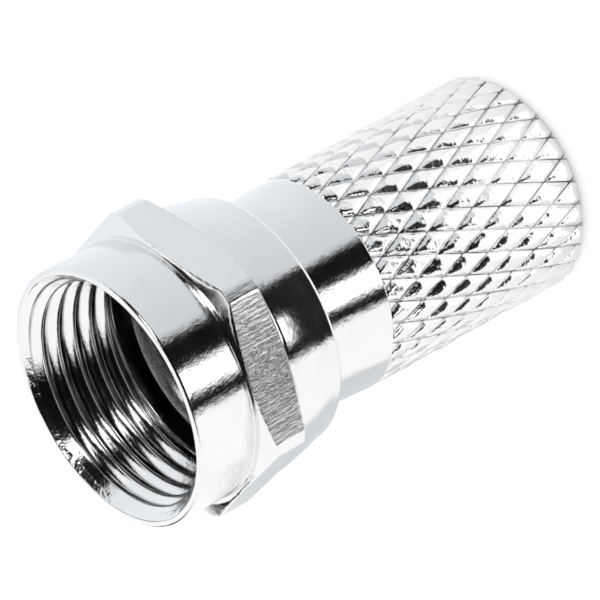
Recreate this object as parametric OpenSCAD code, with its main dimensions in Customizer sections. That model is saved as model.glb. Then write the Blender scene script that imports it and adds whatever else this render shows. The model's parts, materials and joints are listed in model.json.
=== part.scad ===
// Twist-on F plug for coaxial aerial cable. A hexagonal coupling nut turns freely on a
// one-piece knurled body, held by the body's flange inside the nut's rolled-in skirt.
// The plug stands on its cable end, with +Z along its axis towards the socket.

/* [Overall] */
// Length from the cable end to the nut's rim
plug_l = 20.7; // [20.2:0.1:24]

/* [Coupling nut] */
// Length of the nut
nut_l = 7.2; // [7:0.1:8]
// Width of the hexagon across its flats
hex_af = 11; // [10.9:0.1:12]
// How far the hexagon's sharp corners are turned down
corner_cut = 0.15; // [0:0.05:0.4]
// Thickness of the hexagon
hex_t = 1.9; // [1.4:0.1:2.4]
// Slope of the chamfer on the hexagon's corners, in degrees
hex_slope = 20; // [10:1:30]
// Diameter of the round collar in front of the hexagon
collar_d = 10.55; // [10.4:0.05:10.8]
// Length of the collar
collar_l = 2.6; // [2:0.1:3]
// Rounding of the collar's front edge
rim_round = 0.16; // [0.05:0.01:0.2]
// Width of the flat lip round the mouth
lip_w = 0.12; // [0.05:0.01:0.2]
// Diameter of the skirt at its rolled-in end
skirt_d = 10.1; // [9.9:0.1:10.5]
// Radius of the skirt's dome along the axis
dome_r = 12; // [8:1:20]
// Rounding of the skirt's rear edge
skirt_round = 0.3; // [0.1:0.01:0.4]
// Thickness of the skirt's web behind the flange
web_t = 0.65; // [0.4:0.05:0.8]

/* [Socket thread] */
// Outer diameter of the thread
thread_d = 9.525; // [9.4:0.005:9.6]
// Diameter inside the thread's crests, which are cut flat
thread_bore_d = 8.86; // [8.7:0.02:8.9]
// Pitch of the thread
thread_pitch = 0.794; // [0.75:0.002:0.84]
// Length of the threaded bore, from the rim
thread_l = 4.3; // [3.5:0.1:4.5]

/* [Body] */
// Diameter of the neck that the nut turns on
neck_d = 8.4; // [8.2:0.05:8.6]
// Diameter of the neck where it meets the knurl
neck_rear_d = 8.84; // [8.8:0.02:8.9]
// Diameter of the flange that holds the nut
flange_d = 9.2; // [9:0.05:9.3]
// Distance from the nut's rim back to the flange's face
flange_depth = 4.9; // [4.7:0.1:5.2]
// Chamfer on the flange's front edges
flange_chamfer = 0.1; // [0.05:0.01:0.15]

/* [Knurled sleeve] */
// Length of the knurl, from the cable end
knurl_l = 10.35; // [9:0.05:11]
// Diameter over the knurl at the cable end
knurl_d = 9.22; // [9.1:0.02:9.6]
// Diameter over the knurl at the neck
knurl_front_d = 9; // [8.96:0.02:9.1]
// Distance from groove to groove, around the sleeve
knurl_pitch = 1; // [0.9:0.02:1.2]
// Angle of the grooves to the axis, in degrees
knurl_angle = 23.2; // [18:0.2:32]
// Depth of the grooves
knurl_depth = 0.25; // [0.15:0.01:0.3]
// Share of each diamond that is land between the grooves
knurl_land = 0.3; // [0.1:0.02:0.6]
// Height of each diamond's crown above the edge of its land
knurl_crown = 0.03; // [0.01:0.01:0.06]
// Chamfer at the cable end
rear_chamfer = 0.47; // [0.3:0.01:0.5]

/* [Cable bore] */
// Diameter inside the thread that bites the cable's jacket
jacket_d = 6.6; // [6.2:0.1:6.8]
// Depth of the jacket's bore, from the cable end
jacket_l = 12; // [10:0.1:13]
// Chamfer that leads the jacket in
lead_in = 0.45; // [0.3:0.01:0.5]
// Outer diameter of the coarse thread that bites the jacket
bite_d = 7.4; // [7.2:0.1:7.6]
// Pitch of the coarse thread
bite_pitch = 1.5; // [1.2:0.1:2]
// Length of the coarse thread, from the cable end
bite_l = 9; // [7:0.1:9.5]
// Diameter of the bore that passes the cable's insulation
core_d = 5; // [4.6:0.1:5.4]

/* [Clearances] */
// Gap between the neck and the nut's rear bore, on the radius
spin_gap = 0.07; // [0.03:0.01:0.1]
// Free play of the nut along the axis
end_play = 0.15; // [0.1:0.01:0.3]
// Gap between the thread's outer diameter and the relief behind it, on the radius
relief_gap = 0.03; // [0.01:0.01:0.06]

/* [Hidden] */
$fn = 96;
// How far a cut runs past the metal
eps = 0.5;
// Sections in one turn of a thread
thread_steps = 36;

// Heights along the axis
rim_z = plug_l;
hex_top_z = rim_z - collar_l;
hex_bottom_z = hex_top_z - hex_t;
nut_z = rim_z - nut_l;
relief_z = rim_z - thread_l;
web_z = nut_z + web_t;
face_z = rim_z - flange_depth;
seat_z = web_z + end_play;
neck_z = nut_z - end_play;

// Radii of the nut
relief_r = thread_d / 2 + relief_gap;
mouth_r = collar_d / 2 - rim_round - lip_w;
nut_bore_r = neck_d / 2 + spin_gap;
hex_corner_r = hex_af / 2 / cos(30) - corner_cut;
hex_drop = (hex_corner_r - hex_af / 2) * tan(hex_slope);

// Knurl: number of grooves each way, height of half a diamond and rows of diamonds
groove_count = round(PI * knurl_d / knurl_pitch);
row_h = knurl_pitch / tan(knurl_angle) / 2;
row_count = ceil(knurl_l / row_h) + 1;
row_start_z = -0.6 * row_h;

// Points of an arc about a centre, from one angle to another
function arc(centre, r, from, to, steps) =
    [for (i = [0:steps]) centre + r * [cos(from + (to - from) * i / steps),
                                       sin(from + (to - from) * i / steps)]];

// Centre of the arc of radius r that bulges outwards from point a down to point b
function bulge_centre(a, b, r) =
    let (mid = (a + b) / 2, chord = norm(a - b), run = (a - b) / chord)
    mid - sqrt(r * r - chord * chord / 4) * [run[1], -run[0]];

// Direction of a point seen from a centre, in degrees
function bearing(centre, p) = atan2(p[1] - centre[1], p[0] - centre[0]);

// Half section of the nut's round outside: collar, dome and rolled edge
module nut_outline() {
    dome_top = [hex_af / 2, hex_bottom_z];
    dome_end = [skirt_d / 2, nut_z + skirt_round];
    dome_c = bulge_centre(dome_top, dome_end, dome_r);
    rim_c = [collar_d / 2 - rim_round, rim_z - rim_round];
    edge_c = dome_end - [skirt_round, 0];
    polygon(concat(
        [[0, nut_z]],
        arc(edge_c, skirt_round, -90, 0, 6),
        arc(dome_c, dome_r, bearing(dome_c, dome_end), bearing(dome_c, dome_top), 12),
        [[hex_af / 2, hex_bottom_z + hex_t / 2]],
        [[collar_d / 2, hex_top_z - hex_t / 2]],
        arc(rim_c, rim_round, 0, 90, 6),
        [[0, rim_z]]
    ));
}

// Hexagon with its corners turned down, and chamfered at both ends
module hexagon() {
    intersection() {
        translate([0, 0, hex_bottom_z]) cylinder(d = hex_af / cos(30), h = hex_t, $fn = 6);
        rotate_extrude() polygon([
            [0, hex_bottom_z],
            [hex_af / 2, hex_bottom_z],
            [hex_corner_r, hex_bottom_z + hex_drop],
            [hex_corner_r, hex_top_z - hex_drop],
            [hex_af / 2, hex_top_z],
            [0, hex_top_z]
        ]);
    }
}

// Inside of the nut: countersunk mouth, thread bore, relief, cone and rear bore
module nut_cavity() {
    cone_h = relief_r - nut_bore_r;
    rotate_extrude() polygon([
        [0, nut_z - eps],
        [nut_bore_r, nut_z - eps],
        [nut_bore_r, web_z],
        [relief_r, web_z + cone_h],
        [relief_r, relief_z],
        [thread_bore_d / 2, relief_z + relief_r - thread_bore_d / 2],
        [thread_bore_d / 2, rim_z - mouth_r + thread_bore_d / 2],
        [mouth_r, rim_z],
        [mouth_r + eps, rim_z + eps],
        [0, rim_z + eps]
    ]);
}

// Screw-shaped groove with flanks at 60 degrees and a narrow root, which cuts a thread into
// the wall of a bore. It is a strip of four-cornered sections, one after another.
module thread_groove(bore_r, outer_r, pitch, low_z, high_z) {
    inner_r = bore_r - pitch / 10;
    root = pitch / 32;
    side = root + (outer_r - inner_r) * tan(30);
    section = [[inner_r, side], [outer_r, root], [outer_r, -root], [inner_r, -side]];
    last = ceil((high_z - low_z) / pitch * thread_steps);
    points = [
        for (i = [0:last], p = section)
            let (a = 360 * i / thread_steps)
            [p[0] * cos(a), p[0] * sin(a), low_z + pitch * i / thread_steps + p[1]]
    ];
    sides = [
        for (i = [0:last - 1], j = [0:3])
            let (a = 4 * i + j, b = 4 * i + (j + 1) % 4)
            each [[a, a + 4, b], [b, a + 4, b + 4]]
    ];
    end = 4 * last;
    polyhedron(points, concat(sides, [[0, 1, 2, 3], [end + 3, end + 2, end + 1, end]]));
}

module coupling_nut() {
    color("gainsboro") difference() {
        union() {
            rotate_extrude() nut_outline();
            hexagon();
        }
        nut_cavity();
        thread_groove(thread_bore_d / 2, thread_d / 2, thread_pitch,
            low_z = relief_z - thread_pitch / 2, high_z = rim_z + thread_pitch / 2);
    }
}

// Radius over the knurl at a height
function crest_r(z) = knurl_d / 2 - (knurl_d - knurl_front_d) / 2 * z / knurl_l;

// Point of the knurl: row and place around in groove pitches, sunk below the crest
function knurl_point(row, place, sink) =
    let (z = row_start_z + row * row_h, r = crest_r(z) - sink, a = place * 360 / groove_count)
    [r * cos(a), r * sin(a), z];

// Diamonds between two crossing families of grooves. Each row has a groove crossing at
// every pitch, then five points for each diamond: centre, left, right, upper and lower.
module knurl_surface() {
    n = groove_count;
    half = knurl_land / 2;
    crossings = [
        for (k = [0:row_count], i = [0:n - 1]) knurl_point(k, i + (k % 2) / 2, knurl_depth)
    ];
    lands = [
        for (k = [0:row_count], i = [0:n - 1], p = [
            [0, 0, 0],
            [0, -half, knurl_crown],
            [0, half, knurl_crown],
            [knurl_land, 0, knurl_crown],
            [-knurl_land, 0, knurl_crown]
        ]) knurl_point(k + p[0], i + 0.5 + (k % 2) / 2 + p[1], p[2])
    ];
    upper = [
        for (k = [0:row_count - 1], i = [0:n - 1])
            let (c = len(crossings) + 5 * (k * n + i), l = c + 1, r = c + 2, u = c + 3)
            let (left = k * n + i, right = k * n + (i + 1) % n, tip = (k + 1) * n + (i + k % 2) % n)
            each [[left, tip, u], [left, u, l], [right, r, u], [right, u, tip], [l, u, c], [u, r, c]]
    ];
    lower = [
        for (k = [1:row_count], i = [0:n - 1])
            let (c = len(crossings) + 5 * (k * n + i), l = c + 1, r = c + 2, d = c + 4)
            let (left = k * n + i, right = k * n + (i + 1) % n, tip = (k - 1) * n + (i + k % 2) % n)
            each [[left, d, tip], [left, l, d], [right, d, r], [right, tip, d], [l, c, d], [d, c, r]]
    ];
    ring = function (k) [
        for (i = [0:n - 1]) let (c = len(crossings) + 5 * (k * n + i)) each [k * n + i, c + 1, c, c + 2]
    ];
    top = ring(row_count);
    polyhedron(concat(crossings, lands), concat(
        upper, lower, [ring(0)], [[for (i = [1:len(top)]) top[len(top) - i]]]
    ));
}

// Sleeve with its diamonds cut square at the neck and chamfered at both ends
module knurled_sleeve() {
    rear_r = knurl_d / 2 - rear_chamfer;
    intersection() {
        knurl_surface();
        rotate_extrude() polygon([
            [0, 0],
            [rear_r, 0],
            [knurl_d / 2 + eps, rear_chamfer + eps],
            [knurl_front_d / 2 + eps, knurl_l - eps],
            [knurl_front_d / 2, knurl_l],
            [0, knurl_l]
        ]);
    }
}

// Neck, the nut's seat and the flange, with a plain core inside the sleeve
module neck_and_flange() {
    core_r = (jacket_d + knurl_front_d) / 4;
    rotate_extrude() polygon([
        [0, knurl_l / 2],
        [core_r, knurl_l / 2],
        [core_r, knurl_l],
        [neck_rear_d / 2, knurl_l],
        [neck_d / 2, neck_z],
        [neck_d / 2, seat_z],
        [flange_d / 2, seat_z + flange_d / 2 - neck_d / 2],
        [flange_d / 2, face_z - flange_chamfer],
        [flange_d / 2 - flange_chamfer, face_z],
        [0, face_z]
    ]);
}

// Way through the body: lead-in, jacket bore, drilled cone and insulation bore
module cable_way() {
    cone_h = (jacket_d - core_d) / 2 / tan(59);
    rotate_extrude() polygon([
        [0, -eps],
        [jacket_d / 2 + lead_in + eps, -eps],
        [jacket_d / 2, lead_in],
        [jacket_d / 2, jacket_l],
        [core_d / 2, jacket_l + cone_h],
        [core_d / 2, face_z - flange_chamfer],
        [core_d / 2 + flange_chamfer + eps, face_z + eps],
        [0, face_z + eps]
    ]);
}

module cable_body() {
    color("silver") difference() {
        union() {
            knurled_sleeve();
            neck_and_flange();
        }
        cable_way();
        thread_groove(jacket_d / 2, bite_d / 2, bite_pitch, low_z = -bite_pitch, high_z = bite_l);
    }
}

coupling_nut();
cable_body();
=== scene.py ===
# %% [markdown]
# # A twist-on F plug in bright nickel
# The plug has two turned pieces: a coupling nut with a thread inside, and a knurled body
# that the nut turns on. The solids give every size and place, and this script gives the
# two pieces their rounded edges, their screw threads, their rolled diamonds and their
# plating. Everything is in metres, in the frame of the solids.

# %% Load the frame
import json
import math

import bpy
from mathutils import Matrix, Vector


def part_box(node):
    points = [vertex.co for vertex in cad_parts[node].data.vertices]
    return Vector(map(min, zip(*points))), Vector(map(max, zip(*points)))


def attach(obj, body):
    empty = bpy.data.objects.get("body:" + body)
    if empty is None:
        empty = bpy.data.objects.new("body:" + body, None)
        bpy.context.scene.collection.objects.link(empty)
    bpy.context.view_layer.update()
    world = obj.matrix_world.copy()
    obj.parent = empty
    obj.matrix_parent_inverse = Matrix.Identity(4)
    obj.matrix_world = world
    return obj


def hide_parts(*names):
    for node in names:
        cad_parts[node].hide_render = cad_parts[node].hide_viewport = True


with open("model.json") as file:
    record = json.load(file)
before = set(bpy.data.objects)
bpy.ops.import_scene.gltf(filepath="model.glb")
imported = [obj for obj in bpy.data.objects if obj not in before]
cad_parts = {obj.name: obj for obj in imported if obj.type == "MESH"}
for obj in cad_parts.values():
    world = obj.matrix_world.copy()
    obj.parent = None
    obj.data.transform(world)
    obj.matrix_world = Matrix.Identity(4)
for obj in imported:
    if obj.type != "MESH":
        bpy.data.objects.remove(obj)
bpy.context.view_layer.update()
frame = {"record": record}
mounts = {mount["name"]: mount for mount in frame["record"]["mounts"]}
nut_low, nut_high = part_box("coupling_nut")
body_low, body_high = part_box("cable_body")
print("nut", nut_low[:], nut_high[:])
print("body", body_low[:], body_high[:])

# %% [markdown]
# ## Sizes
# The overall sizes come from the solids' boxes and from the record's mounts: a bore's
# radius is a mount's radius. What neither tells, such as the collar's diameter, is a named
# value here, in metres, and it is the same as in the part's own source.

# %% Name the sizes
mm = 0.001
rim_z = nut_high.z
nut_z = nut_low.z
face_z = body_high.z
hex_flat = nut_high.y
hex_corner = nut_high.x
hex_slope = math.tan(math.radians(20))
collar_r = 5.275 * mm
hex_top = rim_z - 2.6 * mm
hex_bottom = hex_top - 1.9 * mm
skirt_r = 5.05 * mm
skirt_round = 0.3 * mm
mouth_r = 4.995 * mm
thread_outer_r = 9.525 / 2 * mm
thread_inner_r = mounts["socket_thread"]["dims"]["r_mm"] * mm
thread_pitch = 0.794 * mm
relief_r = thread_outer_r + 0.03 * mm
relief_z = rim_z - 4.3 * mm
neck_r = 4.2 * mm
neck_rear_r = 4.42 * mm
nut_bore_r = neck_r + 0.07 * mm
web_z = nut_z + 0.65 * mm
end_play = 0.15 * mm
flange_r = 4.6 * mm
knurl_l = 10.35 * mm
knurl_rear_r = 4.61 * mm
knurl_front_r = 4.5 * mm
rear_r = knurl_rear_r - 0.47 * mm
jacket_r = mounts["cable_entry"]["dims"]["r_mm"] * mm
bite_r = 3.7 * mm
bite_l = 9 * mm
bite_pitch = 1.5 * mm
jacket_l = 12 * mm
lead_in_r = jacket_r + 0.45 * mm
core_r = mounts["insulation_bore"]["dims"]["r_mm"] * mm

# %% [markdown]
# ## Camera
# A plug 21 mm long is drawn from about 160 mm away with a long lens, looking down on the
# nut's mouth from a third of the way up. The camera is rolled, so that the plug, which
# stands on its cable end, lies aslant in the view with its mouth at the lower left.

# %% Place the camera
camera_turn = math.radians(-70.8)
camera_reach = 137.859 * mm
camera_height = 99.76 * mm
camera_roll = math.radians(-118.73)
aim_side = -0.2213 * mm
aim_height = 11.206 * mm
lens_length = 259.03
film_width = 36

camera_place = Vector((
    camera_reach * math.cos(camera_turn),
    camera_reach * math.sin(camera_turn),
    camera_height,
))
side_turn = camera_turn + math.pi / 2
aim = Vector((
    aim_side * math.cos(side_turn),
    aim_side * math.sin(side_turn),
    aim_height,
))
camera_data = bpy.data.cameras.new("camera")
camera_data.lens = lens_length
camera_data.sensor_width = film_width
camera = bpy.data.objects.new("camera", camera_data)
bpy.context.scene.collection.objects.link(camera)
level = (aim - camera_place).to_track_quat("-Z", "Y")
camera.rotation_mode = "QUATERNION"
camera.rotation_quaternion = level @ Matrix.Rotation(camera_roll, 4, "Z").to_quaternion()
camera.location = camera_place
bpy.context.scene.camera = camera
aim_distance = (aim - camera_place).length / mm
print("camera", camera.location[:], "to the aim", round(aim_distance, 1), "mm")

# %% [markdown]
# ## Turning
# The nut and the body were turned on a lathe, and a turned piece is a half section spun
# round an axis. The Spin tool does the same, but a section written as a list of corners,
# each with its own rounding, keeps every edge soft enough to catch a highlight. Short
# straight stretches beside each rounding keep the shading from bleeding into the flats.

# %% Round a section and spin it
def rounded(corners, steps=4, hold=0.03 * mm, most=0.48):
    """Section points (r, z) of a closed outline whose corners are (r, z, rounding).

    A rounding takes no more than the share most of the edges on both sides of it.
    """
    points = []
    count = len(corners)
    for i in range(count):
        here = Vector(corners[i][:2])
        ahead = Vector(corners[(i + 1) % count][:2]) - here
        behind = Vector(corners[i - 1][:2]) - here
        reach = min(corners[i][2], most * ahead.length, most * behind.length)
        if reach <= 0:
            points.append(here)
            continue
        ahead_dir, behind_dir = ahead.normalized(), behind.normalized()
        if behind.length > 2 * reach + 2 * hold:
            points.append(here + behind_dir * (reach + hold))
        start, end = here + behind_dir * reach, here + ahead_dir * reach
        for step in range(steps + 1):
            t = step / steps
            points.append(start * (1 - t) ** 2 + here * 2 * t * (1 - t) + end * t * t)
        if ahead.length > 2 * reach + 2 * hold:
            points.append(here + ahead_dir * (reach + hold))
    return [(p.x, p.y) for p in points]


def turned(name, section, turns, limit=None):
    """A closed section spun through the angles in turns. limit(angle) caps the radius."""
    vertices = []
    for r, z in section:
        for angle in turns:
            reach = r if limit is None else limit(r, angle)
            vertices.append((reach * math.cos(angle), reach * math.sin(angle), z))
    rows, columns = len(section), len(turns)
    faces = []
    for i in range(rows):
        for j in range(columns):
            below, above = i * columns, (i + 1) % rows * columns
            right = (j + 1) % columns
            faces.append((below + j, below + right, above + right, above + j))
    mesh = bpy.data.meshes.new(name)
    mesh.from_pydata(vertices, [], faces)
    mesh.validate()
    mesh.shade_smooth()
    piece = bpy.data.objects.new(name, mesh)
    bpy.context.scene.collection.objects.link(piece)
    print(name, len(mesh.polygons), "faces")
    return piece


# %% [markdown]
# ## The coupling nut
# The nut starts as a hexagonal bar. The lathe leaves a collar, a domed skirt that is
# rolled in behind the flange, and chamfers on the corners of the hexagon. So its outside
# is one spun section, whose radius is capped by the hexagon's flats. A smooth minimum
# does the capping, because a plated corner is never quite sharp.

# %% Cap the nut by its hexagon
corner_soft = 0.04 * mm
edge_soft = 0.06 * mm


def soft_min(a, b, width):
    """The lesser of a and b, with a rounding where they are within width of each other."""
    share = max(width - abs(a - b), 0) / width
    return min(a, b) - share * share * width / 4


def hexagon_reach(angle):
    """Distance from the axis to the hexagon's outline at an angle."""
    turn = math.radians(60)
    off = (angle % turn) - turn / 2
    flat = hex_flat / math.cos(off)
    return soft_min(flat, hex_corner, corner_soft)


def capped(r, angle):
    """Radius r, held inside the hexagon where the section stands out past its flats."""
    if r <= hex_flat:
        return r
    return soft_min(r, hexagon_reach(angle), edge_soft)


def nut_turns():
    """Angles round the nut, close together at the hexagon's corners."""
    near_corner = [0, 1, 1.6, 2, 2.3, 2.6, 2.9, 3.3, 4, 5, 7, 10, 14, 18, 22, 26]
    degrees = [0, 30]
    degrees += near_corner[1:] + [60 - d for d in near_corner[1:]]
    return [math.radians(60 * k + d) for k in range(6) for d in sorted(degrees)]


print("hexagon", round(2 * hex_flat / mm, 2), "mm across its flats,",
      len(nut_turns()), "angles round the nut")

# %% [markdown]
# The section is written from the rear end outwards, up over the hexagon and the collar,
# down into the countersunk mouth and back through the bore. The cones on the hexagon are
# cut into short steps, because the flats cap them at a height that changes with the
# angle, and that is what draws the curved edge where a chamfer meets a flat.

# %% Spin the nut
def dome(steps=12, radius=12 * mm):
    """Section points of the skirt's dome, from its rolled-in end up to the hexagon."""
    low, high = Vector((skirt_r, nut_z + skirt_round)), Vector((hex_flat, hex_bottom))
    chord = high - low
    rise = math.sqrt(radius ** 2 - (chord.length / 2) ** 2)
    centre = (low + high) / 2 + Vector((-chord.y, chord.x)).normalized() * rise
    start = math.atan2(low.y - centre.y, low.x - centre.x)
    end = math.atan2(high.y - centre.y, high.x - centre.x)
    angles = [start + (end - start) * i / steps for i in range(1, steps)]
    return [
        (centre.x + radius * math.cos(a), centre.y + radius * math.sin(a), 0)
        for a in angles
    ]


def stretch(low, high, steps):
    """Corners without rounding between two section points, ends left out."""
    return [
        (low[0] + (high[0] - low[0]) * i / steps, low[1] + (high[1] - low[1]) * i / steps, 0)
        for i in range(1, steps)
    ]


cone_steps, side_steps = 14, 8
past_corner = hex_corner + 0.1 * mm
drop = (past_corner - hex_flat) * hex_slope
relief_cone = relief_r - nut_bore_r
thread_top = rim_z - mouth_r + thread_outer_r
cones = [
    (hex_flat, hex_bottom),
    (past_corner, hex_bottom + drop),
    (past_corner, hex_top - drop),
    (hex_flat, hex_top),
]
nut_section = rounded(
    [(nut_bore_r, nut_z, 0.05 * mm), (skirt_r, nut_z, skirt_round)]
    + dome()
    + [(*cones[0], 0)]
    + stretch(cones[0], cones[1], cone_steps)
    + [(*cones[1], 0)]
    + stretch(cones[1], cones[2], side_steps)
    + [(*cones[2], 0)]
    + stretch(cones[2], cones[3], cone_steps)
    + [(*cones[3], 0)]
    + [(collar_r, hex_top, 0.05 * mm), (collar_r, rim_z, 0.13 * mm)]
    + [(mouth_r, rim_z, 0.04 * mm), (thread_outer_r, thread_top, 0.02 * mm)]
    + [(thread_outer_r, relief_z + 0.03 * mm, 0), (relief_r, relief_z, 0)]
    + [(relief_r, web_z + relief_cone, 0.06 * mm), (nut_bore_r, web_z, 0.05 * mm)]
)
nut = turned("nut", nut_section, nut_turns(), capped)

# %% [markdown]
# ## The body's core
# Under the knurl, the body is a plain turned core: the ring that the plug stands on, the
# neck, the flange that keeps the nut on, and the bore right through for the cable.

# %% Shape the core
def circle_turns(count):
    """Evenly spaced angles for a round piece."""
    return [2 * math.pi * i / count for i in range(count)]


seat_z = web_z + end_play
ring_r = rear_r - 0.02 * mm
ring_h = 0.3 * mm
core_under_knurl = 4.15 * mm
drill_angle = math.radians(59)
drill_h = (jacket_r - core_r) / math.tan(drill_angle)
core_section = rounded([
    (lead_in_r, 0, 0.04 * mm),
    (ring_r, 0, 0.04 * mm),
    (ring_r, ring_h, 0),
    (core_under_knurl, knurl_l, 0),
    (neck_rear_r, knurl_l, 0.03 * mm),
    (neck_r, nut_z - end_play, 0.4 * mm),
    (neck_r, seat_z, 0.05 * mm),
    (flange_r, seat_z + flange_r - neck_r, 0.06 * mm),
    (flange_r, face_z, 0.09 * mm),
    (core_r, face_z, 0.09 * mm),
    (core_r, jacket_l + drill_h, 0.03 * mm),
    (jacket_r, jacket_l, 0.03 * mm),
    (jacket_r, bite_l, 0),
    (bite_r, bite_l, 0),
    (bite_r, lead_in_r - bite_r, 0.01 * mm),
])
core = turned("core", core_section, circle_turns(180))

# %% [markdown]
# ## Small building blocks for node trees
# What repeats by a rule is made with Geometry Nodes. A tree full of arithmetic reads badly
# when each node takes five lines, so one helper adds a Math node and returns its output,
# and others do the few things that both trees need: they read where a point is, move it,
# write a number on it, and end the tree.

# %% Node helpers
def new_tree(name, inputs):
    """A Geometry Nodes group with named inputs, as (name, socket type, default)."""
    tree = bpy.data.node_groups.new(name, "GeometryNodeTree")
    for label, kind, value in inputs:
        socket = tree.interface.new_socket(label, in_out="INPUT", socket_type=kind)
        if value is not None:
            socket.default_value = value
    tree.interface.new_socket("Geometry", in_out="OUTPUT", socket_type="NodeSocketGeometry")
    return tree, tree.nodes.new("NodeGroupInput").outputs, tree.nodes.new("NodeGroupOutput")


def wire(tree, value, socket):
    """Joins an output to a socket, or writes a plain value into it."""
    if isinstance(value, bpy.types.NodeSocket):
        tree.links.new(value, socket)
    else:
        socket.default_value = value


def calc(tree, operation, *values):
    """A Math node, and its output."""
    node = tree.nodes.new("ShaderNodeMath")
    node.operation = operation
    for value, socket in zip(values, node.inputs):
        wire(tree, value, socket)
    return node.outputs[0]


def node_of(tree, kind, settings=None, **links):
    """Any other node: settings are its own properties, links its inputs by name."""
    node = tree.nodes.new(kind)
    for key, value in (settings or {}).items():
        setattr(node, key, value)
    for label, value in links.items():
        wire(tree, value, node.inputs[label.replace("_", " ")])
    return node


def here(tree):
    """The x, y and z of each point."""
    place = node_of(tree, "GeometryNodeInputPosition").outputs[0]
    return node_of(tree, "ShaderNodeSeparateXYZ", Vector=place).outputs


def moved(tree, geometry, x, y, z=0):
    """The geometry with its points put at (x, y, z)."""
    there = node_of(tree, "ShaderNodeCombineXYZ", X=x, Y=y, Z=z).outputs[0]
    return node_of(
        tree, "GeometryNodeSetPosition", Geometry=geometry, Position=there
    ).outputs[0]


def stored(tree, geometry, name, value, domain="POINT"):
    """The geometry with a number written on each point, or on each copy."""
    return node_of(
        tree, "GeometryNodeStoreNamedAttribute", {"data_type": "FLOAT", "domain": domain},
        Geometry=geometry, Name=name, Value=value,
    ).outputs[0]


def end_tree(tree, geometry, finish, out):
    """Real, smooth faces with the finish on them, and the group's output."""
    smooth = node_of(tree, "GeometryNodeSetShadeSmooth", Geometry=geometry).outputs[0]
    real = node_of(tree, "GeometryNodeRealizeInstances", Geometry=smooth).outputs[0]
    done = node_of(tree, "GeometryNodeSetMaterial", Geometry=real, Material=finish)
    wire(tree, done.outputs[0], out.inputs[0])


def grown(name, tree, values):
    """The plain mesh that a tree grows on an empty object, with its inputs set.

    A tree's own grid brings an empty material slot, and that one is taken out.
    """
    piece = bpy.data.objects.new(name, bpy.data.meshes.new(name))
    bpy.context.scene.collection.objects.link(piece)
    modifier = piece.modifiers.new(name, "NODES")
    modifier.node_group = tree
    sockets = {s.name: s.identifier for s in tree.interface.items_tree if s.in_out == "INPUT"}
    for label, value in values.items():
        modifier[sockets[label]] = value
    evaluated = piece.evaluated_get(bpy.context.evaluated_depsgraph_get())
    mesh = bpy.data.meshes.new_from_object(evaluated)
    mesh.materials.pop(index=0)
    piece.modifiers.remove(modifier)
    piece.data = mesh
    print(name, len(mesh.polygons), "faces")
    return piece


# %% [markdown]
# ## The rolled diamonds
# A knurling wheel presses crossing grooves into the sleeve and leaves rows of diamonds.
# The pattern repeats, so one diamond is enough: a small square grid turned on its corner,
# one unit wide and one unit long. A copy stands on every point of a lattice whose odd
# rows are shifted by half a diamond. Each copy draws a random number, which says later
# how hard its tip was bruised. Then the copies are joined to one flat sheet.

# %% Lay the diamonds out flat
join_gap = 0.001


def diamond_sheet(tree, given):
    """A flat sheet of joined diamonds, each 1 by 1, with a random number in each."""
    side = calc(tree, "ADD", given["Detail"], 1)
    tile = node_of(
        tree, "GeometryNodeMeshGrid", Size_X=1, Size_Y=1, Vertices_X=side, Vertices_Y=side
    ).outputs[0]
    x, y, _ = here(tree)
    across = calc(tree, "MULTIPLY", calc(tree, "ADD", x, y), 0.5)
    along = calc(tree, "MULTIPLY", calc(tree, "SUBTRACT", x, y), 0.5)
    diamond = moved(tree, tile, across, along)

    total = calc(tree, "MULTIPLY", given["Around"], given["Rows"])
    line = node_of(tree, "GeometryNodeMeshLine", Count=total).outputs[0]
    index = node_of(tree, "GeometryNodeInputIndex").outputs[0]
    row = calc(tree, "FLOOR", calc(tree, "DIVIDE", index, given["Around"]))
    shift = calc(tree, "MULTIPLY", calc(tree, "MODULO", row, 2), 0.5)
    column = calc(tree, "ADD", calc(tree, "MODULO", index, given["Around"]), shift)
    lattice = moved(tree, line, column, calc(tree, "MULTIPLY", row, 0.5))

    copies = node_of(
        tree, "GeometryNodeInstanceOnPoints", Points=lattice, Instance=diamond
    ).outputs[0]
    luck = node_of(tree, "FunctionNodeRandomValue", {"data_type": "FLOAT"}, Seed=given["Seed"])
    marked = stored(tree, copies, "bruise", luck.outputs[1], "INSTANCE")
    real = node_of(tree, "GeometryNodeRealizeInstances", Geometry=marked).outputs[0]
    return node_of(
        tree, "GeometryNodeMergeByDistance", Geometry=real, Distance=join_gap
    ).outputs[0]


# %% [markdown]
# The depth is worked out on the joined sheet, from the distance to the nearest groove, so
# that the diamonds meet without a seam. A power of that distance decides how full a
# diamond is: at 1 it would be a pyramid, and a higher power leaves a pillow with narrow
# grooves, as rolled metal has. Bruises flatten the tips by different amounts, and a noise
# over the whole sleeve wears some places more than others.

# %% Sink the grooves
groove_soft = 0.3
groove_floor, floor_soft = 0.97, 0.06
tip_soft = 0.02 * mm
wear_grain = 3


def groove_share(tree, given, x, v):
    """How deep each point lies, from 0 on a diamond's tip to about 1 in a groove."""
    shares = []
    for way in ("ADD", "SUBTRACT"):
        away = calc(tree, "PINGPONG", calc(tree, way, x, v), 0.5)
        shares.append(calc(tree, "POWER", calc(tree, "MULTIPLY", away, 2), given["Fullness"]))
    deeper = calc(tree, "SMOOTH_MAX", *shares, groove_soft)
    return calc(tree, "SMOOTH_MIN", deeper, groove_floor, floor_soft)


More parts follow.
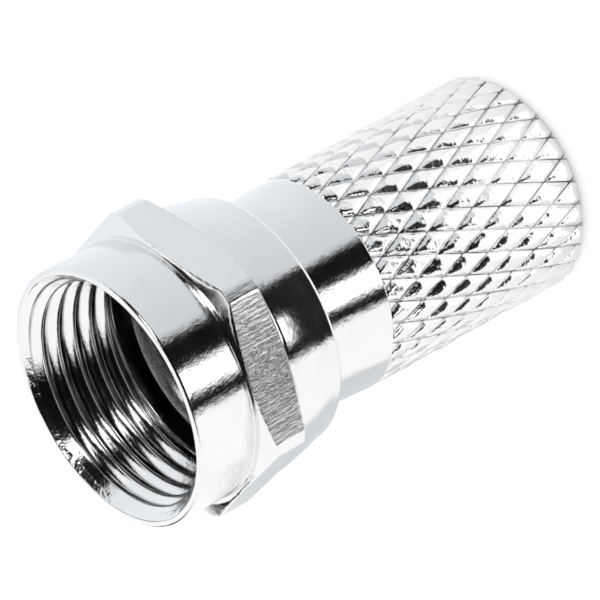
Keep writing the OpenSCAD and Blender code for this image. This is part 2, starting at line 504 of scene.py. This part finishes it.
def sunk_depth(tree, given, share, spot):
    """Metres below the sleeve's full radius, with the bruises and the wear."""
    sunk = calc(tree, "MULTIPLY", share, given["Depth"])
    bruise = node_of(
        tree, "GeometryNodeInputNamedAttribute", {"data_type": "FLOAT"}, Name="bruise"
    ).outputs[0]
    flat_tip = calc(tree, "MULTIPLY", bruise, given["Bruise"])
    sunk = calc(tree, "SMOOTH_MAX", sunk, flat_tip, tip_soft)
    wear = node_of(
        tree, "ShaderNodeTexNoise", Vector=spot, Scale=wear_grain, Detail=1
    ).outputs[0]
    return calc(tree, "ADD", sunk, calc(tree, "MULTIPLY", wear, given["Wear"]))


# %% [markdown]
# Last, the flat sheet is wrapped round the sleeve. Its width becomes the turn, and its
# length becomes the height. Rows that would pass an end are folded in there, and two
# cones cut the ends to the chamfers of the sleeve. The share of depth is kept on the
# points under the name deep, so that the plating can tell the grooves.

# %% Wrap the knurl
row_shift = 0.3
foot = 0.01 * mm
fold = 0.3 * mm
cone_soft = 0.02 * mm
seam_gap = 1e-7


def knurl_tree():
    """A knurled sleeve along Z that stands on z = 0."""
    tree, given, out = new_tree("rolled_diamonds", [
        ("Around", "NodeSocketInt", 29),
        ("Rows", "NodeSocketInt", 11),
        ("Detail", "NodeSocketInt", 12),
        ("Diamond", "NodeSocketFloat", 0.0023),
        ("Length", "NodeSocketFloat", 0.01),
        ("Rear radius", "NodeSocketFloat", 0.0046),
        ("Front radius", "NodeSocketFloat", 0.0045),
        ("End radius", "NodeSocketFloat", 0.0041),
        ("Depth", "NodeSocketFloat", 0.00023),
        ("Fullness", "NodeSocketFloat", 2.6),
        ("Bruise", "NodeSocketFloat", 0.00006),
        ("Wear", "NodeSocketFloat", 0.00009),
        ("Seed", "NodeSocketInt", 4),
        ("Finish", "NodeSocketMaterial", None),
    ])
    sheet = diamond_sheet(tree, given)
    x, y, _ = here(tree)
    free_z = calc(tree, "MULTIPLY", calc(tree, "SUBTRACT", y, row_shift), given["Diamond"])
    z = calc(tree, "MINIMUM", calc(tree, "MAXIMUM", free_z, foot), given["Length"])
    past_end = calc(tree, "ABSOLUTE", calc(tree, "SUBTRACT", free_z, z))
    v = calc(tree, "ADD", calc(tree, "DIVIDE", z, given["Diamond"]), row_shift)
    share = groove_share(tree, given, x, v)
    sheet = stored(tree, sheet, "deep", share)

    turn = calc(tree, "MULTIPLY", calc(tree, "DIVIDE", x, given["Around"]), 2 * math.pi)
    cosine, sine = calc(tree, "COSINE", turn), calc(tree, "SINE", turn)
    cell = calc(tree, "DIVIDE", calc(tree, "MULTIPLY", given["Around"], 0.5), 2 * math.pi)
    spot = node_of(
        tree, "ShaderNodeCombineXYZ",
        X=calc(tree, "MULTIPLY", cosine, cell), Y=calc(tree, "MULTIPLY", sine, cell), Z=v,
    ).outputs[0]
    sunk = sunk_depth(tree, given, share, spot)

    part = calc(tree, "DIVIDE", z, given["Length"])
    widening = calc(tree, "SUBTRACT", given["Front radius"], given["Rear radius"])
    crest = calc(tree, "ADD", given["Rear radius"], calc(tree, "MULTIPLY", part, widening))
    to_front = calc(tree, "SUBTRACT", given["Length"], z)
    rear_cone = calc(tree, "ADD", given["End radius"], z)
    front_cone = calc(tree, "ADD", given["Front radius"], to_front)
    cut = calc(tree, "SUBTRACT", crest, sunk)
    cut = calc(tree, "SMOOTH_MIN", cut, rear_cone, cone_soft)
    cut = calc(tree, "MINIMUM", cut, front_cone)
    radius = calc(tree, "SUBTRACT", cut, calc(tree, "MINIMUM", past_end, fold))
    wrapped = moved(
        tree, sheet,
        calc(tree, "MULTIPLY", radius, cosine), calc(tree, "MULTIPLY", radius, sine), z,
    )
    closed = node_of(
        tree, "GeometryNodeMergeByDistance", Geometry=wrapped, Distance=seam_gap
    ).outputs[0]
    end_tree(tree, closed, given["Finish"], out)
    return tree


knurl_pitch = 1 * mm
knurl_angle = math.radians(23.2)
diamond_l = knurl_pitch / math.tan(knurl_angle)
around = round(2 * math.pi * knurl_rear_r / knurl_pitch)
print("knurl", around, "diamonds round, each", round(diamond_l / mm, 3), "mm long")

# %% [markdown]
# ## The screw threads
# A thread is a ridge that climbs the wall of a bore. A long strip is laid along the helix
# and given the ridge's section, a wave, since plating and a worn tap leave the crests and
# the roots round. The strip's long edges meet in the root. Where a countersink or a
# relief cuts the thread, the strip gives way to that cone, so that the first turn runs
# out as a cut thread does. The roots carry the same mark, deep, as the knurl's grooves.

# %% Wind a thread
points_across = 15


def thread_tree():
    """A right-handed inside thread along Z, between two cones."""
    tree, given, out = new_tree("screw_thread", [
        ("Turns", "NodeSocketFloat", 6.0),
        ("Steps", "NodeSocketInt", 700),
        ("Pitch", "NodeSocketFloat", 0.0008),
        ("Crest radius", "NodeSocketFloat", 0.0044),
        ("Root radius", "NodeSocketFloat", 0.0048),
        ("Start height", "NodeSocketFloat", 0.0),
        ("Mouth radius", "NodeSocketFloat", 0.005),
        ("Mouth height", "NodeSocketFloat", 0.02),
        ("Inner radius", "NodeSocketFloat", 0.0048),
        ("Inner height", "NodeSocketFloat", 0.016),
        ("Finish", "NodeSocketMaterial", None),
    ])
    strip = node_of(
        tree, "GeometryNodeMeshGrid",
        Size_X=1, Size_Y=1, Vertices_X=given["Steps"], Vertices_Y=points_across,
    ).outputs[0]
    x, y, _ = here(tree)
    turn = calc(tree, "MULTIPLY", calc(tree, "ADD", x, 0.5), given["Turns"])
    angle = calc(tree, "MULTIPLY", turn, 2 * math.pi)
    off = calc(tree, "MULTIPLY", y, given["Pitch"])
    rise = calc(tree, "MULTIPLY", turn, given["Pitch"])
    free_z = calc(tree, "ADD", calc(tree, "ADD", given["Start height"], rise), off)
    low = calc(tree, "MINIMUM", given["Mouth height"], given["Inner height"])
    high = calc(tree, "MAXIMUM", given["Mouth height"], given["Inner height"])
    z = calc(tree, "MINIMUM", calc(tree, "MAXIMUM", free_z, low), high)

    wave = calc(tree, "COSINE", calc(tree, "MULTIPLY", y, 2 * math.pi))
    share = calc(tree, "MULTIPLY_ADD", wave, -0.5, 0.5)
    depth = calc(tree, "SUBTRACT", given["Root radius"], given["Crest radius"])
    radius = calc(tree, "MULTIPLY_ADD", share, depth, given["Crest radius"])
    for end in ("Inner", "Mouth"):
        to_end = calc(tree, "ABSOLUTE", calc(tree, "SUBTRACT", given[end + " height"], z))
        cone = calc(tree, "SUBTRACT", given[end + " radius"], to_end)
        radius = calc(tree, "MAXIMUM", radius, cone)
    strip = stored(tree, strip, "deep", share)
    wrapped = moved(
        tree, strip,
        calc(tree, "MULTIPLY", radius, calc(tree, "COSINE", angle)),
        calc(tree, "MULTIPLY", radius, calc(tree, "SINE", angle)),
        z,
    )
    facing = node_of(tree, "GeometryNodeFlipFaces", Mesh=wrapped).outputs[0]
    end_tree(tree, facing, given["Finish"], out)
    return tree


# %% [markdown]
# ## Bright nickel
# Nickel plate is a pale, slightly cool metal. What tells it from chrome in a drawing is
# its small faults: the reflections ripple, because plate copies the machining under it and
# adds its own grain. Four height patterns do this. A soft ripple covers everything, fine
# rings follow the lathe tool, streaks follow the drawn bar on the hexagon's flats, and
# dents cover the knurl and the bevel in the mouth. Marks on the points of the mesh say
# where each belongs. All read Object coordinates, so they turn with the piece.

# %% Give the plating its relief
ripple_h = 0.0115 * mm
ring_h = 0.0005 * mm
streak_h = 0.014 * mm
dent_h = 3.5 * ripple_h
ripple_grain = 2600
dent_grain = 2400
ring_grain = (60, 60, 14000)
streak_grain = (8000, 8000, 1300)


def noise(tree, coordinates, scale, detail, rough=0.5):
    """A Noise Texture's value. The scale counts grains to the metre."""
    return node_of(
        tree, "ShaderNodeTexNoise",
        Vector=coordinates, Scale=scale, Detail=detail, Roughness=rough,
    ).outputs[0]


def stretched(tree, coordinates, scale):
    """Coordinates scaled by a different amount along each axis."""
    return node_of(tree, "ShaderNodeMapping", Vector=coordinates, Scale=scale).outputs[0]


def mark(tree, name):
    """A mark on the mesh's points, which is 0 where a mesh has none."""
    return node_of(tree, "ShaderNodeAttribute", {"attribute_name": name}).outputs["Fac"]


def relief(tree, place, flat, dented):
    """The normal of the plated surface."""
    off_flat = calc(tree, "SUBTRACT", 1, flat)
    soft = noise(tree, place, ripple_grain, 5, 0.68)
    ring = noise(tree, stretched(tree, place, ring_grain), 1, 2)
    streak = noise(tree, stretched(tree, place, streak_grain), 1, 3, 0.6)
    dent = noise(tree, place, dent_grain, 2, 0.6)
    height = calc(tree, "MULTIPLY", soft, ripple_h)
    height = calc(tree, "MULTIPLY_ADD", calc(tree, "MULTIPLY", ring, off_flat), ring_h, height)
    height = calc(tree, "MULTIPLY_ADD", calc(tree, "MULTIPLY", streak, flat), streak_h, height)
    height = calc(tree, "MULTIPLY_ADD", calc(tree, "MULTIPLY", dent, dented), dent_h, height)
    return node_of(tree, "ShaderNodeBump", Height=height, Strength=1, Distance=1).outputs[0]


# %% [markdown]
# The colour is nearly even. A cloud takes it from pale to a little paler, and the same
# cloud makes the shine vary. Roots and grooves get painted shade in patches: a near-black
# tone stands in for the shade that falls in them. So the mark deep, past a threshold and
# thinned by a noise, mixes that painted shade in there.

# %% Colour and polish the plating
pale_nickel = (0.80, 0.80, 0.81, 1)
paler_nickel = (0.88, 0.88, 0.88, 1)
# A near-black tone, painted into the deep grooves and thread roots as shade.
painted_groove_shade = (0.03, 0.03, 0.035, 1)
cloud_grain = 900
patch_grain = 700
shade_threshold = 0.7
polish = 0.10
cloud_haze, flat_haze, dent_haze = 0.08, 0.09, 0.04


def mixed(tree, share, first, second):
    """A colour between two others."""
    return node_of(
        tree, "ShaderNodeMix", {"data_type": "RGBA"}, Factor=share, A=first, B=second
    ).outputs["Result"]


def nickel(name):
    """Plated nickel. Its roughness is polish, give or take half of cloud_haze."""
    material = bpy.data.materials.new(name)
    material.use_nodes = True
    tree = material.node_tree
    shader = tree.nodes["Principled BSDF"]
    shader.inputs["Metallic"].default_value = 1
    place = tree.nodes.new("ShaderNodeTexCoord").outputs["Object"]
    flat, dented, deep = mark(tree, "on_flat"), mark(tree, "dented"), mark(tree, "deep")
    wire(tree, relief(tree, place, flat, dented), shader.inputs["Normal"])

    cloud = noise(tree, place, cloud_grain, 4, 0.6)
    # Painted shade: where the mark deep passes the threshold, the near-black tone is mixed in,
    # in noisy patches.
    groove_shade_share = node_of(
        tree, "ShaderNodeMapRange", {"interpolation_type": "SMOOTHSTEP"},
        Value=deep, From_Min=shade_threshold,
    ).outputs[0]
    patchy_shade = calc(tree, "MULTIPLY_ADD", noise(tree, place, patch_grain, 1), 2, -0.3)
    patchy_shade = calc(tree, "MINIMUM", calc(tree, "MULTIPLY", patchy_shade, groove_shade_share), 1)
    colour = mixed(tree, cloud, pale_nickel, paler_nickel)
    colour = mixed(tree, patchy_shade, colour, painted_groove_shade)
    wire(tree, colour, shader.inputs["Base Color"])

    haze = calc(tree, "MULTIPLY_ADD", cloud, cloud_haze, polish - cloud_haze / 2)
    haze = calc(tree, "MULTIPLY_ADD", flat, flat_haze, haze)
    haze = calc(tree, "MULTIPLY_ADD", dented, dent_haze, haze)
    wire(tree, haze, shader.inputs["Roughness"])
    print(name, len(tree.nodes), "nodes")
    return material


nut_finish = nickel("nickel_nut_plate")
body_finish = nickel("nickel_body_plate")

# %% [markdown]
# ## Growing the knurl and the threads
# Each tree is run once for each place it is needed, with sizes from the solids. The knurl
# covers the sleeve, the fine thread lines the nut's mouth, and the same tree with other
# sizes makes the coarse thread that bites the cable. A hair between a thread and its bore
# keeps the two from sharing a plane.

# %% Grow the knurl and the threads
hair = 0.003 * mm
knurl = grown("knurl", knurl_tree(), {
    "Around": around,
    "Rows": math.ceil(knurl_l / diamond_l * 2) + 3,
    "Detail": 12,
    "Diamond": diamond_l,
    "Length": knurl_l,
    "Rear radius": knurl_rear_r,
    "Front radius": knurl_front_r,
    "End radius": rear_r,
    "Depth": 0.23 * mm,
    "Fullness": 2.6,
    "Bruise": 0.06 * mm,
    "Wear": 0.09 * mm,
    "Finish": body_finish,
})
threads = thread_tree()
nut_thread = grown("nut_thread", threads, {
    "Turns": 6.6,
    "Steps": 800,
    "Pitch": thread_pitch,
    "Crest radius": thread_inner_r,
    "Root radius": thread_outer_r - hair,
    "Start height": relief_z - thread_pitch / 2,
    "Mouth radius": mouth_r + 0.002 * mm,
    "Mouth height": rim_z - 0.001 * mm,
    "Inner radius": relief_r + 0.005 * mm,
    "Inner height": relief_z,
    "Finish": nut_finish,
})
bite_thread = grown("bite_thread", threads, {
    "Turns": 7.0,
    "Steps": 600,
    "Pitch": bite_pitch,
    "Crest radius": jacket_r,
    "Root radius": bite_r - hair,
    "Start height": -bite_pitch / 2,
    "Mouth radius": lead_in_r + 0.01 * mm,
    "Mouth height": 0.005 * mm,
    "Inner radius": jacket_r,
    "Inner height": bite_l + 0.6 * mm,
    "Finish": body_finish,
})

# %% [markdown]
# ## Putting the pieces together
# Each body gets one finished piece. The thread is joined to the nut, and the knurl and the
# coarse thread are joined to the core. Before that, marks go onto the points: one on the
# hexagon's flats, where the bar's drawn surface is left, and one on the bevel in the mouth
# and on the knurl, where the metal is dented.

# %% Mark, join and mount
def mark_nut(piece, near=0.01 * mm, bevel_h=0.6 * mm):
    """Writes 1 into on_flat on the hexagon's flats, and into dented on the mouth's bevel."""
    attributes = piece.data.attributes
    for name in ("on_flat", "dented"):
        attributes.new(name, "FLOAT", "POINT")
    rows = zip(piece.data.vertices, attributes["on_flat"].data, attributes["dented"].data)
    for point, flat, dent in rows:
        x, y, z = point.co
        reach = math.hypot(x, y)
        off_outline = abs(reach - hexagon_reach(math.atan2(y, x)))
        on_hexagon = hex_bottom + near < z < hex_top - near
        on_bevel = thread_outer_r - near < reach < mouth_r - near / 10
        flat.value = 1 if on_hexagon and off_outline < near else 0
        dent.value = 1 if on_bevel and z > rim_z - bevel_h else 0


def join(name, first, others, finish):
    """One object: the first piece takes the finish that the others were grown with."""
    first.data.materials.append(finish)
    pieces = [first, *others]
    with bpy.context.temp_override(active_object=first, selected_editable_objects=pieces):
        bpy.ops.object.join()
    first.name = name
    print(name, len(first.data.polygons), "faces,", len(first.data.materials), "finish")
    return first


mark_nut(nut)
dents = knurl.data.attributes.new("dented", "FLOAT", "POINT")
dents.data.foreach_set("value", [1.0] * len(dents.data))
plated_nut = join("plated_nut", nut, [nut_thread], nut_finish)
plated_body = join("plated_body", core, [knurl, bite_thread], body_finish)
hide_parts("coupling_nut")
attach(plated_nut, "nut")
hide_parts("cable_body")
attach(plated_body, "body")

# %% [markdown]
# ## The studio
# A mirror shows what stands round it, so the light for bright metal is mostly a matter of
# cards. The plug stands on a white floor in a white room. Round it stand curved cards that
# only reflections can see. The floor glows a little for the camera and for the metal,
# because a floor lit by an even sky alone comes out too grey.

# %% Helpers for cards and floor
def plain(name, colour, strength=0):
    """A matt colour, or an even glow."""
    material = bpy.data.materials.new(name)
    material.use_nodes = True
    shader = material.node_tree.nodes["Principled BSDF"]
    shader.inputs["Base Color"].default_value = (*colour, 1)
    shader.inputs["Roughness"].default_value = 0.9
    shader.inputs["Specular IOR Level"].default_value = 0
    if strength:
        shader.inputs["Base Color"].default_value = (0, 0, 0, 1)
        shader.inputs["Emission Color"].default_value = (*colour, 1)
        shader.inputs["Emission Strength"].default_value = strength
    return material


def fading(name, colour, turns, strengths):
    """A glow that goes from one strength to another between two turns in degrees."""
    material = plain(name, colour, strengths[1])
    tree = material.node_tree
    place = tree.nodes.new("ShaderNodeTexCoord").outputs["Object"]
    split = node_of(tree, "ShaderNodeSeparateXYZ", Vector=place)
    turn = calc(tree, "ARCTAN2", split.outputs[1], split.outputs[0])
    rise = node_of(
        tree, "ShaderNodeMapRange", Value=turn,
        From_Min=math.radians(turns[0]), From_Max=math.radians(turns[1]),
        To_Min=strengths[0], To_Max=strengths[1],
    )
    wire(tree, rise.outputs[0], tree.nodes["Principled BSDF"].inputs["Emission Strength"])
    return material


def card(name, turn_from, turn_to, rows, material):
    """A card curved round the plug between two turns in degrees. Rows are (r, z) in mm."""
    steps = max(2, round(abs(turn_to - turn_from) / 3))
    turns = [
        math.radians(turn_from + (turn_to - turn_from) * i / steps)
        for i in range(steps + 1)
    ]
    vertices = [
        (r * mm * math.cos(a), r * mm * math.sin(a), z * mm)
        for r, z in rows
        for a in turns
    ]
    wide = steps + 1
    faces = [
        (k * wide + i, k * wide + i + 1, (k + 1) * wide + i + 1, (k + 1) * wide + i)
        for k in range(len(rows) - 1)
        for i in range(steps)
    ]
    mesh = bpy.data.meshes.new(name)
    mesh.from_pydata(vertices, [], faces)
    mesh.materials.append(material)
    piece = bpy.data.objects.new(name, mesh)
    bpy.context.scene.collection.objects.link(piece)
    piece.visible_camera = False
    piece.visible_diffuse = False
    piece.visible_transmission = False
    piece.visible_shadow = False


def floor(half=0.9, drop=0.01 * mm, seen_glow=0.25, mirrored_glow=0.13):
    """A wide pale floor, a hair below the plug, so that no two faces share a plane."""
    corners = [(-half, -half), (half, -half), (half, half), (-half, half)]
    mesh = bpy.data.meshes.new("floor")
    mesh.from_pydata([(x, y, -drop) for x, y in corners], [], [(0, 1, 2, 3)])
    material = plain("floor_paper", (0.9, 0.9, 0.9))
    tree = material.node_tree
    shader = tree.nodes["Principled BSDF"]
    path = tree.nodes.new("ShaderNodeLightPath").outputs
    lift = calc(tree, "MULTIPLY", path["Is Camera Ray"], seen_glow)
    lift = calc(tree, "MULTIPLY_ADD", path["Is Glossy Ray"], mirrored_glow, lift)
    shader.inputs["Emission Color"].default_value = (1, 1, 1, 1)
    wire(tree, lift, shader.inputs["Emission Strength"])
    mesh.materials.append(material)
    piece = bpy.data.objects.new("floor", mesh)
    bpy.context.scene.collection.objects.link(piece)


# %% [markdown]
# ## The cards
# The plug's smooth sides mirror the floor more than the room. So the black card and the
# grey card each begin with a flap that slopes down beside the plug and runs out over the
# floor to the standing part. The black card, with a bright strip on it, draws the dark
# band along the plug. The grey card fades to white and draws the plug's pale side. The
# mouth looks up instead, so for it there is a black wall with a hood and a roof, and a
# narrow bright strip high up, which sparkles on the turns of the thread. A small black
# card stands for the corner between the collar and the hexagon, white paper at the plug's
# foot keeps the knurl's tips bright, and a grey flap on the far side keeps the lower edges
# from melting into the floor.

# %% Set the floor, the light and the cards
cool = (0.97, 1, 1.02)
white = (1, 1, 1)
dim = 0.76
black = plain("black_card", (0.004, 0.004, 0.004))
grey = plain("grey_card", cool, dim)
glow = plain("bright_strip", white, 1.6)
high_glow = plain("high_glow", white, 3.5)
paper = plain("bright_paper", white, 1.3)
grey_to_white = fading("fading_card", cool, (-40, 60), (dim, 1))
near_flap = [(7.3, 8.2), (18.8, 0.4)]

card("dark_band", -113, -52.8, near_flap + [(110, 0.4), (110, 140), (15, 141)], black)
card("strip", -99, -79.5, [(18.8, 0.8), (109, 0.8), (109, 30)], glow)
card("dark_hood", -142, 18, [(113, 75), (113, 143), (40, 143)], black)
card("dark_wall", -114, -8, [(113, 1), (113, 75)], black)
card("high_strip", -44, -28, [(112.5, 45), (112.5, 142.5), (60, 142.5)], high_glow)
card("dark_roof", -198.5, 44, [(1, 142), (54, 142)], black)
card("grey_side", -52.8, 104, near_flap + [(114, 0.4), (114, 140)], grey_to_white)
card("dark_corner", 126, 140, [(113, 40), (113, 92)], black)
card("bright_floor", -120, -42, [(5, 0.3), (18, 0.3)], paper)
card("grey_flap", 119.5, 185.5, [(7.3, 0.4), (33.5, 0.4)], grey)
floor()

room_light = 1.12
world = bpy.data.worlds.new("white_room")
world.use_nodes = True
background = world.node_tree.nodes["Background"]
background.inputs["Color"].default_value = (1, 1, 1, 1)
background.inputs["Strength"].default_value = room_light
bpy.context.scene.world = world
bpy.context.scene.view_settings.view_transform = "Standard"
print("studio", world.name, "at", room_light)
